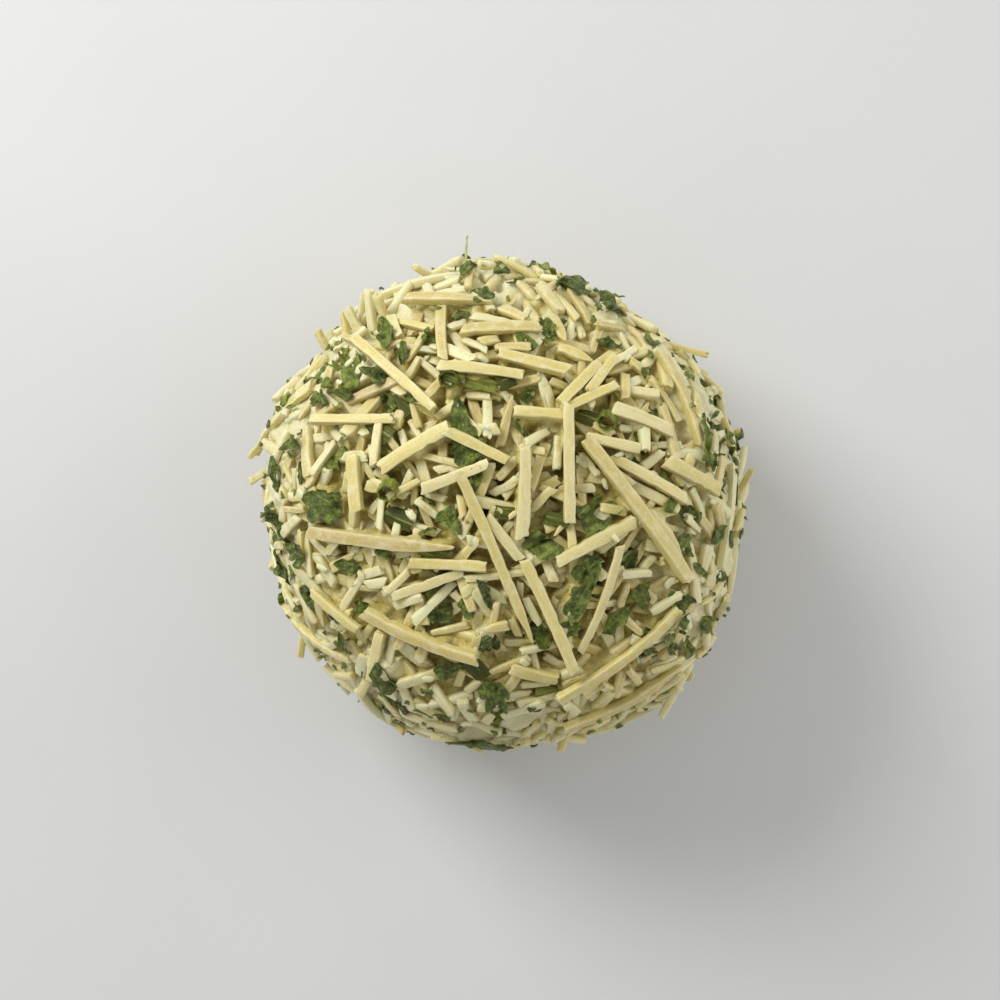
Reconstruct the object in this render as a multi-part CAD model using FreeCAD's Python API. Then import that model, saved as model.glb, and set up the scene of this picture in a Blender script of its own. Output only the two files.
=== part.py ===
"""A cheese ball: soft cheese rolled by hand in shredded hard cheese.

Millimetres, +Z up. The origin is on the flat spot that the ball rests on, under the middle of the
whole. +Y is the back of the ball, and azimuths run from +X towards +Y.

One solid is the ball itself with its coat: the short shreds that were rolled and pressed into the soft
cheese, out to its uneven surface. The long shreds that lie on top of the coat are solids of their own,
each bent round the ball and pressed into a seat of its own shape.
"""

import FreeCAD
import Part

import math
import os
import random
from collections import namedtuple

from FreeCAD import Placement, Rotation, Vector

# ---- The ball, before its coat -----------------------------------------------------------------

BALL_WIDTH = 90.0
BALL_DEPTH = 90.0
BALL_HEIGHT = 66.0
BELLY_HEIGHT = 30.0  # height of the widest ring above the flat spot
FOOT_WIDTH = 52.0  # the flat spot that the ball has settled on
SQUARENESS = 2.3  # exponent of the side's curve: 2 is an ellipse, more is fuller at the shoulders

# Hands leave a rolled ball a little oval and with five soft corners in plan.
OVAL = 0.015
OVAL_AZIMUTH = -43.0
CORNERS = 5
CORNER_BULGE = 0.019
CORNER_AZIMUTH = 23.0
CORNER_TWIST = 14.0  # degrees that the corners turn from the belly to the crown

RINGS = 13  # sections that the ball is lofted through
RING_POINTS = 20

# ---- The shreds --------------------------------------------------------------------------------

SHRED_WIDTH = 2.35
SHRED_THICKNESS = 2.1
LONGEST_SHRED = 33.0
SEAT_DEPTH = 0.95  # how far a long shred is pressed into the coat at its middle
LAYER_STEP = 1.25  # how much higher a shred lies for each shred that it crosses
LIMPNESS = 0.8  # share of the ball's own curve that a long shred bends to
TIP_SHARE = 0.18  # width left at a torn, pointed end
TIP_LENGTH = 6.0
CUT_SLANT = 0.55  # how far a cut end leans, as a share of the shred's width

COAT_COUNT = 430
COAT_SHORTEST = 3.5
COAT_LONGEST = 11.0
COAT_TILT = 4.5  # degrees that a shred of the coat tips up at one end
COAT_FLUSH = 0.6  # how far the most deeply pressed shred stands out of the ball
COAT_PROUD = 1.5  # and the least deeply pressed
COAT_ROOT = 2.0  # how far into the soft cheese a shred of the coat is followed
COAT_LOWEST = 2.5  # no shred of the coat is seated lower than this above the foot
COAT_NARROWEST = 0.8  # shares of the usual shred's width
COAT_WIDEST = 1.1
COAT_STRAY_ROUND = 5.0  # degrees that a shred of the coat strays from its even place, round the ball
COAT_STRAY_DOWN = 2.0  # and up or down it
COAT_SEED = 12

# The long shreds on the crown and the shoulders, as they lie: where the middle is (azimuth, and the
# angle down from the crown as seen from the belly's centre), which way the shred runs in plan, its
# length as a share of the longest one, its width as a share of the usual one, its layer, and how its
# two ends are cut.
Shred = namedtuple("Shred", "azimuth down heading length width layer ends")

CROWN_SHREDS = [
    Shred(260, 14, 113, 0.98, 0.95, 2, "cut point"),
    Shred(1, 35, 128, 0.94, 1.00, 1, "cut cut"),
    Shred(350, 42, 121, 0.38, 1.70, 0, "cut cut"),
    Shred(33, 34, 171, 0.30, 1.00, 1, "cut cut"),
    Shred(47, 7, 88, 0.46, 1.10, 1, "cut cut"),
    Shred(37, 21, 91, 0.60, 0.95, 1, "cut cut"),
    Shred(14, 39, 152, 0.46, 1.05, 0, "cut cut"),
    Shred(34, 43, 163, 0.34, 1.20, 0, "cut cut"),
    Shred(145, 17, 20, 0.36, 0.95, 1, "cut cut"),
    Shred(145, 29, 29, 0.42, 1.30, 0, "cut cut"),
    Shred(192, 35, 175, 0.83, 1.05, 1, "cut point"),
    Shred(129, 47, 138, 0.66, 0.90, 1, "cut cut"),
    Shred(105, 58, 170, 0.46, 0.90, 1, "cut point"),
    Shred(109, 50, 96, 0.38, 1.05, 0, "cut cut"),
    Shred(92, 48, 1, 0.40, 1.10, 1, "cut cut"),
    Shred(100, 37, 174, 0.42, 0.85, 1, "cut cut"),
    Shred(80, 39, 163, 0.36, 1.00, 0, "cut cut"),
    Shred(55, 44, 54, 0.28, 0.95, 1, "cut cut"),
    Shred(61, 39, 48, 0.32, 0.90, 1, "cut cut"),
    Shred(54, 36, 25, 0.32, 0.85, 0, "cut cut"),
    Shred(70, 27, 174, 0.28, 1.05, 0, "cut cut"),
    Shred(268, 7, 128, 0.27, 1.00, 1, "cut cut"),
    Shred(293, 30, 114, 0.64, 1.05, 1, "cut cut"),
    Shred(317, 35, 73, 0.60, 0.85, 2, "cut cut"),
    Shred(342, 25, 27, 0.46, 1.10, 0, "cut cut"),
    Shred(309, 49, 33, 0.78, 0.95, 1, "cut cut"),
    Shred(302, 63, 24, 0.72, 1.05, 0, "point cut"),
    Shred(228, 51, 73, 0.28, 0.95, 0, "cut cut"),
    Shred(235, 40, 161, 0.64, 1.05, 1, "cut cut"),
    Shred(210, 53, 153, 0.34, 0.95, 0, "cut cut"),
    Shred(223, 29, 20, 0.40, 1.00, 1, "cut cut"),
    Shred(169, 40, 96, 0.28, 1.05, 1, "cut cut"),
    Shred(149, 47, 178, 0.46, 0.90, 1, "cut cut"),
    Shred(33, 57, 110, 0.52, 0.95, 1, "cut cut"),
    Shred(11, 51, 158, 0.38, 1.15, 1, "cut cut"),
    Shred(280, 44, 160, 0.26, 0.95, 0, "cut cut"),
    Shred(222, 21, 178, 0.40, 1.05, 0, "cut cut"),
    Shred(112, 19, 154, 0.34, 0.95, 0, "cut cut"),
]

# Round the sides they lie every way, spread evenly.
SIDE_COUNT = 20
SIDE_TOP = 68.0  # degrees down from the crown
SIDE_BOTTOM = 101.0
SIDE_SHORTEST = 0.42  # shares of the longest shred
SIDE_LONGEST = 0.80
SIDE_NARROWEST = 0.85
SIDE_WIDEST = 1.1
SIDE_STRAY = 6.0  # degrees round the ball
SIDE_STRIDE = 7  # each shred takes the level this many along from the last one's
SIDE_LEAN = 62.0  # degrees that a side shred may lean from level
SIDE_SEED = 16

GOLDEN_ANGLE = math.degrees(math.pi * (3 - math.sqrt(5)))
MARGIN = 20.0  # how far cutting blocks reach past what they cut
HALVINGS = 40  # steps in which a point on the surface is closed in on
NORMAL_STEP = 1.5  # degrees along the surface, to either side of where its normal is wanted


# ---- The ball's surface ------------------------------------------------------------------------


def crown_rise():
    """From the belly to the crown."""
    return BALL_HEIGHT - BELLY_HEIGHT


def belly_drop():
    """From the belly to where the side would close under the foot if the ball had not settled."""
    kept = 1 - (FOOT_WIDTH / BALL_WIDTH) ** SQUARENESS
    return BELLY_HEIGHT / kept ** (1 / SQUARENESS)


def rolled(azimuth, height_share):
    """How much wider or narrower than a true oval the ball is, in radians and from -1 to 1."""
    twist = math.radians(CORNER_TWIST) * height_share
    oval = OVAL * math.cos(2 * (azimuth - math.radians(OVAL_AZIMUTH)))
    corners = CORNER_BULGE * math.cos(CORNERS * (azimuth - math.radians(CORNER_AZIMUTH) - twist))
    return 1 + oval + corners


def height_share(z):
    """Height from the belly: 0 there, 1 at the crown, negative below."""
    above = z - BELLY_HEIGHT
    return above / (crown_rise() if above > 0 else belly_drop())


def plan_radius(azimuth, z):
    """Distance from the axis to the ball's side."""
    share = height_share(z)
    ring = max(0.0, 1 - abs(share) ** SQUARENESS) ** (1 / SQUARENESS)
    along = math.cos(azimuth) / (BALL_WIDTH / 2)
    across = math.sin(azimuth) / (BALL_DEPTH / 2)
    return ring * rolled(azimuth, share) / math.hypot(along, across)


def surface_point(direction):
    """Where a ray from the belly's centre leaves the ball."""
    centre = Vector(0, 0, BELLY_HEIGHT)
    near, far = 0.0, BALL_WIDTH + BALL_DEPTH + BALL_HEIGHT
    for _ in range(HALVINGS):
        middle = (near + far) / 2
        if outside(centre + direction * middle):
            far = middle
        else:
            near = middle
    return centre + direction * near


def outside(point):
    if abs(height_share(point.z)) >= 1:
        return True
    return math.hypot(point.x, point.y) > plan_radius(math.atan2(point.y, point.x), point.z)


def direction_to(azimuth, down):
    """Unit vector at an azimuth and an angle down from the crown, in degrees."""
    a, d = math.radians(azimuth), math.radians(down)
    return Vector(math.sin(d) * math.cos(a), math.sin(d) * math.sin(a), math.cos(d))


def surface_normal(azimuth, down):
    """Outward normal of the ball, from two short steps along its surface."""
    middle = direction_to(azimuth, down)
    side = (Vector(0, 0, 1) if down > 1 else Vector(0, 1, 0)).cross(middle).normalize()
    up = middle.cross(side)
    reach = math.radians(NORMAL_STEP)
    east = surface_point(middle + side * reach) - surface_point(middle - side * reach)
    north = surface_point(middle + up * reach) - surface_point(middle - up * reach)
    return east.cross(north).normalize()


def ring(z):
    """One level section of the ball."""
    turns = [2 * math.pi * k / RING_POINTS for k in range(RING_POINTS)]
    points = []
    for azimuth in turns:
        radius = plan_radius(azimuth, z)
        points.append(Vector(radius * math.cos(azimuth), radius * math.sin(azimuth), z))
    # The same parameters in every ring keep the loft's surface to one set of knots.
    steps = [float(k) for k in range(RING_POINTS + 1)]
    curve = Part.BSplineCurve()
    curve.interpolate(Points=points, PeriodicFlag=True, Parameters=steps)
    return Part.Wire(curve.toShape())


def ring_heights():
    """Heights from the crown to the foot, closer together where the side turns fastest."""
    foot_turn = math.acos((BELLY_HEIGHT / belly_drop()) ** (SQUARENESS / 2))
    whole_turn = math.pi - foot_turn
    heights = []
    for k in range(1, RINGS + 1):
        turn = whole_turn * k / RINGS
        share = abs(math.cos(turn)) ** (2 / SQUARENESS)
        above = turn < math.pi / 2
        heights.append(BELLY_HEIGHT + share * crown_rise() if above else BELLY_HEIGHT - share * belly_drop())
    heights[-1] = 0.0
    return heights


def bare_ball():
    crown = Part.Vertex(Vector(0, 0, BALL_HEIGHT))
    return Part.makeLoft([crown] + [ring(z) for z in ring_heights()], True, False)


# ---- The coat of short shreds ------------------------------------------------------------------


def slanted_bar(length, width, root, top, slant):
    """A straight shred along X, from the root's depth to its top, its two ends cut at a slant."""
    corners = [
        Vector(-length / 2, -width / 2),
        Vector(length / 2 - slant, -width / 2),
        Vector(length / 2, width / 2),
        Vector(-length / 2 + slant, width / 2),
    ]
    outline = Part.Face(Part.makePolygon(corners + corners[:1]))
    outline.translate(Vector(0, 0, -root))
    return outline.extrude(Vector(0, 0, root + top))


def lying(normal, heading):
    """Turns a shred's own X, Y and Z to lie along the heading, across it, and out of the surface."""
    return Rotation(Vector(0, 0, 1), normal) * Rotation(Vector(0, 0, 1), heading)


def coat_shreds():
    """Short shreds spread evenly over the ball, lying every way and pressed in unevenly."""
    chance = random.Random(COAT_SEED)
    shreds = []
    for k in range(COAT_COUNT):
        down = math.degrees(math.acos(1 - 2 * (k + 0.5) / COAT_COUNT))
        down += COAT_STRAY_DOWN * chance.uniform(-1, 1)
        azimuth = k * GOLDEN_ANGLE + COAT_STRAY_ROUND * chance.uniform(-1, 1)
        length = chance.uniform(COAT_SHORTEST, COAT_LONGEST)
        width = SHRED_WIDTH * chance.uniform(COAT_NARROWEST, COAT_WIDEST)
        top = chance.uniform(COAT_FLUSH, COAT_PROUD)
        tilt = COAT_TILT * chance.uniform(-1, 1)
        heading = chance.uniform(0, 180)
        slant = CUT_SLANT * width * chance.uniform(-1, 1)
        point = surface_point(direction_to(azimuth, max(down, 0)))
        if point.z < COAT_LOWEST:
            continue
        normal = surface_normal(azimuth, max(down, 0))
        shred = slanted_bar(length, width, COAT_ROOT, top, slant)
        turn = lying(normal, heading) * Rotation(Vector(0, 1, 0), tilt)
        shred.Placement = Placement(point, turn)
        shreds.append(shred)
    return shreds


# ---- The long shreds ---------------------------------------------------------------------------


def end_outline(kind, width):
    """One end of a shred in plan, from its left edge to its right: how far back, and how far across."""
    if kind == "point":
        tip = width * TIP_SHARE / 2
        return [(TIP_LENGTH, width / 2), (0, tip), (0, -tip), (TIP_LENGTH, -width / 2)]
    lean = width * CUT_SLANT
    return [(0, width / 2), (lean, -width / 2)]


def bent_shred(length, width, thickness, sag, ends):
    """A shred along X whose underside passes through the origin, its ends lower by the sag."""
    first, last = ends.split()
    half = length / 2
    plan = [Vector(half - back, across) for back, across in end_outline(first, width)]
    plan += [Vector(back - half, -across) for back, across in end_outline(last, width)]
    blank = Part.Face(Part.makePolygon(plan + plan[:1]))
    blank.translate(Vector(0, 0, -MARGIN))
    blank = blank.extrude(Vector(0, 0, 2 * MARGIN))

    low = [Vector(-half, -width, -sag), Vector(0, -width, 0), Vector(half, -width, -sag)]
    high = [point + Vector(0, 0, thickness) for point in low]
    side = Part.Wire(
        [
            Part.Arc(*low).toShape(),
            Part.makeLine(low[2], high[2]),
            Part.Arc(*reversed(high)).toShape(),
            Part.makeLine(high[0], low[0]),
        ]
    )
    return Part.Face(side).extrude(Vector(0, 2 * width, 0)).common(blank).Solids[0]


def sag_under(point, normal, along, reach):
    """How far the ball falls away from its tangent plane at a distance to either side."""
    centre = Vector(0, 0, BELLY_HEIGHT)
    falls = []
    for way in (reach, -reach):
        tip = point + along * way
        falls.append((tip - surface_point((tip - centre).normalize())).dot(normal))
    return sum(falls) / 2


def seated_shred(shred):
    """A long shred bent round the ball and pressed into its coat."""
    direction = direction_to(shred.azimuth, shred.down)
    point = surface_point(direction)
    normal = surface_normal(shred.azimuth, shred.down)
    turn = lying(normal, shred.heading)
    length = LONGEST_SHRED * shred.length
    sag = LIMPNESS * sag_under(point, normal, turn.multVec(Vector(1, 0, 0)), length / 2)
    solid = bent_shred(length, SHRED_WIDTH * shred.width, SHRED_THICKNESS, sag, shred.ends)
    solid.Placement = Placement(point + normal * (shred.layer * LAYER_STEP - SEAT_DEPTH), turn)
    return solid


def side_shreds():
    """Long shreds round the sides, from the shoulders to just under the belly."""
    chance = random.Random(SIDE_SEED)
    shreds = []
    for k in range(SIDE_COUNT):
        azimuth = k * GOLDEN_ANGLE + SIDE_STRAY * chance.uniform(-1, 1)
        level = (k * SIDE_STRIDE % SIDE_COUNT + 0.5) / SIDE_COUNT
        down = SIDE_TOP + (SIDE_BOTTOM - SIDE_TOP) * level
        lean = chance.uniform(-SIDE_LEAN, SIDE_LEAN)
        length = chance.uniform(SIDE_SHORTEST, SIDE_LONGEST)
        width = chance.uniform(SIDE_NARROWEST, SIDE_WIDEST)
        ends = chance.choice(["cut cut", "cut cut", "cut point"])
        shreds.append(Shred(azimuth, down, azimuth + 90 + lean, length, width, 0, ends))
    return shreds


def above_the_foot(shape):
    """What is left of a shape once the ball has settled on its foot."""
    reach = BALL_WIDTH + BALL_DEPTH + LONGEST_SHRED
    under = Part.makeBox(2 * reach, 2 * reach, MARGIN, Vector(-reach, -reach, -MARGIN))
    return shape.cut(under)


def boxes_meet(a, b):
    return a.BoundBox.intersect(b.BoundBox)


def largest(shape):
    return max(shape.Solids, key=lambda solid: solid.Volume)


def long_shreds():
    """Every long shred, each one let into by those that lie over it."""
    rows = [(f"crown_shred_{k:02d}", shred) for k, shred in enumerate(CROWN_SHREDS, 1)]
    rows += [(f"side_shred_{k:02d}", shred) for k, shred in enumerate(side_shreds(), 1)]
    rows.sort(key=lambda row: -row[1].layer)
    placed = {}
    for name, shred in rows:
        solid = seated_shred(shred)
        over = [upper for upper in placed.values() if boxes_meet(upper, solid)]
        placed[name] = largest(solid.cut(over)) if over else solid
    return placed


# ---- The whole ---------------------------------------------------------------------------------


def build():
    shreds = long_shreds()
    ball = above_the_foot(bare_ball().fuse(coat_shreds()))
    nodes = {"cheese_ball": largest(ball.cut(list(shreds.values())))}
    nodes.update({name: shreds[name] for name in sorted(shreds)})
    return nodes


def centred(nodes):
    """Moves the whole so that the origin is under the middle of its box."""
    box = FreeCAD.BoundBox()
    for shape in nodes.values():
        box.add(shape.BoundBox)
    shift = Vector(-box.Center.x, -box.Center.y, 0)
    return {name: shape.translated(shift) for name, shape in nodes.items()}


def main():
    os.makedirs("parts", exist_ok=True)
    for name, shape in centred(build()).items():
        shape.exportStep(os.path.join("parts", name + ".step"))
        print(name, len(shape.Solids), len(shape.Faces), round(shape.Volume, 1), shape.isValid())


main()
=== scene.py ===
"""The looks of a cheese ball: soft cheese rolled in shredded hard cheese, parsley and chives.

Lengths in this script are millimetres until a mesh is made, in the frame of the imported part: +Z up,
the origin on the flat spot under the ball. The ball is built as it is rolled. A fine grid of points on
its surface keeps the height that the coat has reached there, and every shred, leaf and chive is laid
to rest on that relief and raises it. The soft cheese between them is one skin fitted to the relief.
"""

import math

import bpy
import numpy as np
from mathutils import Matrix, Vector
from mathutils.kdtree import KDTree


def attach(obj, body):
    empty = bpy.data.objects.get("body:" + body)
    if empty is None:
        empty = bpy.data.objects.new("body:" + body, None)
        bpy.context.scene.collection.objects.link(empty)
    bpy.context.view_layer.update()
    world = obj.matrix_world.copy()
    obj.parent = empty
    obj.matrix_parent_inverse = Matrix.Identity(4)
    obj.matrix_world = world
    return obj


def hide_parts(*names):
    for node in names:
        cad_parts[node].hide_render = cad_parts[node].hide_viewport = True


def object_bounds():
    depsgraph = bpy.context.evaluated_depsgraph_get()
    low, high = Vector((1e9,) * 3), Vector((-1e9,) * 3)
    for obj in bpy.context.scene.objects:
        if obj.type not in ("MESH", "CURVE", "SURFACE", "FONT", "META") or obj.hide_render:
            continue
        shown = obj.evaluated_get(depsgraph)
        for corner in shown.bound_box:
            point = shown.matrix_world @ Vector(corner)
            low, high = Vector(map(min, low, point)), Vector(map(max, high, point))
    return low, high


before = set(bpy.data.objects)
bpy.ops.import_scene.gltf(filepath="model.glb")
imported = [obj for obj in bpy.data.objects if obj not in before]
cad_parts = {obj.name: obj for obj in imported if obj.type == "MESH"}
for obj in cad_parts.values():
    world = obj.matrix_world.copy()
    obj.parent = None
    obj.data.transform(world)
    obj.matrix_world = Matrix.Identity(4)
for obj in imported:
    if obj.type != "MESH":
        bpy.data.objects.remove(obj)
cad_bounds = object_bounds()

MM = 0.001

# ---- The ball ----

CAD_LOW = np.array(cad_bounds[0]) / MM
CAD_HIGH = np.array(cad_bounds[1]) / MM
SIDE_COAT = 1.60  # how far the solids' coat stands out of the smooth ball to its left and right
END_COAT = 1.92  # and to its front and back
CROWN_COAT = 3.63  # and how far their highest shred stands over its crown
BALL_WIDTH = CAD_HIGH[0] - CAD_LOW[0] - 2 * SIDE_COAT
BALL_DEPTH = CAD_HIGH[1] - CAD_LOW[1] - 2 * END_COAT
BALL_HEIGHT = CAD_HIGH[2] - CAD_LOW[2] - CROWN_COAT
BELLY = 0.455 * BALL_HEIGHT  # the height of the widest ring
FOOT_SHARE = 0.58  # the width of the flat spot, as a share of the widest ring
SQUARENESS = 2.3  # the power of the profile's curve, where two is a true oval
CENTRE = np.array([0.0, 0.0, BELLY])
RISE = BALL_HEIGHT - BELLY
DROP = BELLY / (1 - FOOT_SHARE**SQUARENESS) ** (1 / SQUARENESS)  # as if the foot weren't cut flat
OVAL_SHARE = 0.015  # how far the plan is drawn out along one diagonal
OVAL_TURN = math.radians(43)
CORNER_SHARE = 0.019  # how far its five soft corners stand out
CORNER_TURN = math.radians(23)
CORNER_TWIST = math.radians(14)

# ---- The coat ----

CORE_DEPTH = 3.5  # the soft cheese lies this far under the smooth ball at the crown
PRESSED_DEPTH = 1.9  # and this far round the sides, where the hands pressed the coat in
LOOSE_TO = 40.0  # degrees from the crown where the loose heap ends
PRESSED_FROM = 66.0  # and where the coat is pressed flat
HIGHEST = 3.3  # about as high over the smooth ball as anything is laid

GRID = 96  # squares of the relief's grid along each edge of the cube that it is blown up from

STEEPEST = 0.28  # the most that a short shred slopes
ENDS_HIGHER = 1.6  # how much higher its ends may stand than its middle may

SHRED_WIDTH = 2.1
SHRED_THICK = 1.55
CUT_ENDS = ("cut", "cut")
LEAF_THICK = 0.22
CHIVE_WALL = 0.26

SEED = 41
random = np.random.default_rng(SEED)
draw = random.uniform


def unit(v):
    return v / np.linalg.norm(v, axis=-1, keepdims=True)


def rolled(azimuth, share):
    """How much the ball's plan departs from a true oval at each azimuth, with a slight twist."""
    oval = OVAL_SHARE * np.cos(2 * (azimuth + OVAL_TURN))
    corners = CORNER_SHARE * np.cos(5 * (azimuth - CORNER_TURN) - CORNER_TWIST * share)
    return 1 + oval + corners


def surface(directions):
    """Where rays from the middle of the belly leave the smooth ball."""
    azimuth = np.arctan2(directions[:, 1], directions[:, 0])
    level = np.hypot(directions[:, 0] / (BALL_WIDTH / 2), directions[:, 1] / (BALL_DEPTH / 2))
    upright = directions[:, 2] / np.where(directions[:, 2] > 0, RISE, DROP)
    reach = np.full(len(directions), BALL_WIDTH / 2)
    for _ in range(3):
        plan = level / rolled(azimuth, reach * upright)
        reach = (plan**SQUARENESS + np.abs(upright) ** SQUARENESS) ** (-1 / SQUARENESS)
    to_foot = BELLY / np.maximum(-directions[:, 2], 1e-6)
    return CENTRE + directions * np.minimum(reach, to_foot)[:, None]


def surface_frame(directions, step=0.02):
    """Points on the smooth ball and its outward normals there."""
    helper = np.where(np.abs(directions[:, 2:3]) < 0.9, [[0.0, 0.0, 1.0]], [[1.0, 0.0, 0.0]])
    side = unit(np.cross(helper, directions))
    up = np.cross(directions, side)
    east = surface(unit(directions + side * step)) - surface(unit(directions - side * step))
    north = surface(unit(directions + up * step)) - surface(unit(directions - up * step))
    return surface(directions), unit(np.cross(east, north))


def toward(azimuth, down):
    """Unit vector at an azimuth and an angle down from the crown, in degrees."""
    a, d = math.radians(azimuth), math.radians(down)
    return np.array([math.sin(d) * math.cos(a), math.sin(d) * math.sin(a), math.cos(d)])


def smooth_step(low, high, x):
    """None up to the low limit, one from the high limit on, and a smooth change between them."""
    t = np.clip((x - low) / (high - low), 0, 1)
    return t * t * (3 - 2 * t)


class Bumps:
    """Smooth seeded noise in space: a sum of waves that run every way."""

    def __init__(self, size, waves=24):
        heads = unit(random.normal(size=(waves, 3)))
        self.k = heads * (2 * math.pi / size) * draw(0.6, 1.5, (waves, 1))
        self.phase = draw(0, 2 * math.pi, waves)
        self.scale = math.sqrt(2 / waves)

    def at(self, points):
        return np.sin(points @ self.k.T + self.phase).sum(axis=1) * self.scale


# ---- The relief that the coat is laid on ----


class Relief:
    """Heights over the smooth ball, kept at evenly spread points of its surface: core is the soft
    cheese that the coat is laid on, and height is the top of what has been laid so far."""

    def __init__(self):
        self.make_grid(GRID)
        self.point, self.normal = surface_frame(self.direction)
        self.down = np.degrees(np.arccos(np.clip(self.direction[:, 2], -1, 1)))
        pressed = smooth_step(LOOSE_TO, PRESSED_FROM, self.down)
        depth = CORE_DEPTH + (PRESSED_DEPTH - CORE_DEPTH) * pressed
        broad, fine = Bumps(11.0), Bumps(3.2)
        bumps = 0.55 * broad.at(self.point) + 0.22 * fine.at(self.point)
        on_foot = (self.point[:, 2] < 0.05).astype(float)
        self.core = (bumps - depth) * (1 - on_foot) - (0.9 - 0.25 * bumps) * on_foot
        self.height = self.core.copy()
        self.tree = KDTree(len(self.point))
        for k, p in enumerate(self.point):
            self.tree.insert(p, k)
        self.tree.balance()

    def make_grid(self, n):
        """A cube blown up to a sphere: its points and its square faces."""
        steps = np.tan(np.linspace(-1, 1, n + 1) * math.pi / 4)
        u, v = np.meshgrid(steps, steps, indexing="ij")
        one = np.ones_like(u)
        sides = [(one, u, v), (-one, v, u), (v, one, u), (u, -one, v), (u, v, one), (v, u, -one)]
        points = np.concatenate([np.stack(side, -1).reshape(-1, 3) for side in sides])
        keys = np.round(points * 1e5).astype(np.int64)
        _, first, back = np.unique(keys, axis=0, return_index=True, return_inverse=True)
        index = np.arange((n + 1) ** 2).reshape(n + 1, n + 1)
        square = np.stack([index[:-1, :-1], index[1:, :-1], index[1:, 1:], index[:-1, 1:]], -1)
        squares = [square.reshape(-1, 4) + k * (n + 1) ** 2 for k in range(6)]
        self.direction = unit(points[first])
        self.faces = back.reshape(-1)[np.concatenate(squares)]

    def near(self, point, radius):
        return np.array([k for _, k, _ in self.tree.find_range(point, radius)], dtype=int)

    def sunk(self, points):
        """How deep points lie in the coat, which sets the painted shade in its gaps: none at its tops, one
        at the bottom of a deep gap.
        """
        near = [self.tree.find(p)[1] for p in points]
        height = ((points - self.point[near]) * self.normal[near]).sum(axis=1)
        gap = self.broad[near] - height
        loose = 1 - smooth_step(LOOSE_TO + 5, PRESSED_FROM + 5, self.down[near])
        return np.clip((gap + 0.15) / 3.1, 0, 1) * (0.55 + 0.45 * loose)

    def tops(self, points, radius):
        """The highest relief within a radius of each point."""
        return np.array([self.height[self.near(p, radius)].max(initial=-9.0) for p in points])

    def smoothed(self, values, rounds):
        """Averages values over the neighbours in the grid."""
        start, end = self.faces.ravel(), np.roll(self.faces, -1, axis=1).ravel()
        count = np.bincount(start, minlength=len(values)) + np.bincount(end, minlength=len(values))
        for _ in range(rounds):
            total = np.bincount(start, values[end], len(values))
            total += np.bincount(end, values[start], len(values))
            values = 0.5 * values + 0.5 * total / count
        return values

    def settle(self):
        """Keeps the broad shape of the finished coat, from which depths in it are measured."""
        self.broad = self.smoothed(self.height, 5)


relief = Relief()


class Lie:
    """Where one thing lies: a place on the ball, the way it runs, and its rest on the relief."""

    def __init__(self, direction, heading=None, along=None):
        point, normal = surface_frame(direction[None, :])
        self.point, self.normal = point[0], normal[0]
        if along is None:
            along = self.turned(heading)
        self.along = unit(along - self.normal * (along @ self.normal))
        self.across = np.cross(self.normal, self.along)

    def turned(self, heading):
        """The heading in plan, carried from the crown to this place without twisting."""
        h = math.radians(heading)
        flat = np.array([math.cos(h), math.sin(h), 0.0])
        axis = np.cross([0.0, 0.0, 1.0], self.normal)
        sine, cosine = np.linalg.norm(axis), self.normal[2]
        if sine < 1e-6:
            return flat
        axis /= sine
        turned = flat * cosine + np.cross(axis, flat) * sine
        return turned + axis * (axis @ flat) * (1 - cosine)

    def local(self, radius):
        """Grid points within a radius, with their places along and across."""
        near = relief.near(self.point, radius)
        offset = relief.point[near] - self.point
        facing = relief.normal[near] @ self.normal > 0.2
        near, offset = near[facing], offset[facing]
        return near, offset @ self.along, offset @ self.across

    def rest(self, length, width, lift):
        """Height in the middle and slope of a rod laid on the relief: its underside is height +
        slope * s + lift * s * s at a distance s along, and it rests on two high places."""
        near, s, y = self.local(length / 2 + width)
        under = (np.abs(s) < length / 2) & (np.abs(y) < width * 0.42)
        if under.sum() < 4:
            return None
        near, s = near[under], s[under]
        slots = np.clip(((s / length + 0.5) * max(4, int(length))).astype(int), 0, None)
        needs = relief.height[near] - lift * s * s
        best = {}
        for slot in np.unique(slots):
            inside = np.flatnonzero(slots == slot)
            top = inside[np.argmax(needs[inside])]
            best[slot] = (s[top], needs[top])
        left = [pair for pair in best.values() if pair[0] <= 0]
        right = [pair for pair in best.values() if pair[0] > 0]
        if not left or not right:
            return None
        height, slope = -1e9, 0.0
        for s0, g0 in left:
            for s1, g1 in right:
                tilt = (g1 - g0) / (s1 - s0)
                if g0 - tilt * s0 > height:
                    height, slope = g0 - tilt * s0, tilt
        return height, slope

    def place(self, s, y, height):
        """Points of space for places along and across, at heights over the smooth ball."""
        flat = self.point + np.outer(s, self.along) + np.outer(y, self.across)
        point, normal = surface_frame(unit(flat - CENTRE))
        return point + normal * np.asarray(height)[:, None]


class Standing(Lie):
    """A straight place for a shred that stands out of the coat, rooted in it at one end."""

    def __init__(self, azimuth, down, heading, rise, length, rooted):
        point, normal = surface_frame(toward(azimuth, down)[None, :])
        flat, up = math.cos(math.radians(rise)), math.sin(math.radians(rise))
        turn = math.radians(heading)
        self.along = np.array([math.cos(turn) * flat, math.sin(turn) * flat, up])
        self.point = point[0] + self.along * (length / 2 - rooted)
        self.normal = unit(normal[0] - self.along * (normal[0] @ self.along))
        self.across = np.cross(self.normal, self.along)

    def place(self, s, y, height):
        flat = self.point + np.outer(s, self.along) + np.outer(y, self.across)
        return flat + np.outer(height, self.normal)


def raise_relief(lie, length, width, top_at):
    """Lifts the relief to the top of what was laid there."""
    near, s, y = lie.local(length / 2 + width)
    under = (np.abs(s) < length / 2) & (np.abs(y) < width / 2)
    near, s = near[under], s[under]
    top = top_at(s)
    higher = top > relief.height[near]
    relief.height[near[higher]] = top[higher]


# ---- Joined meshes ----


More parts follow.
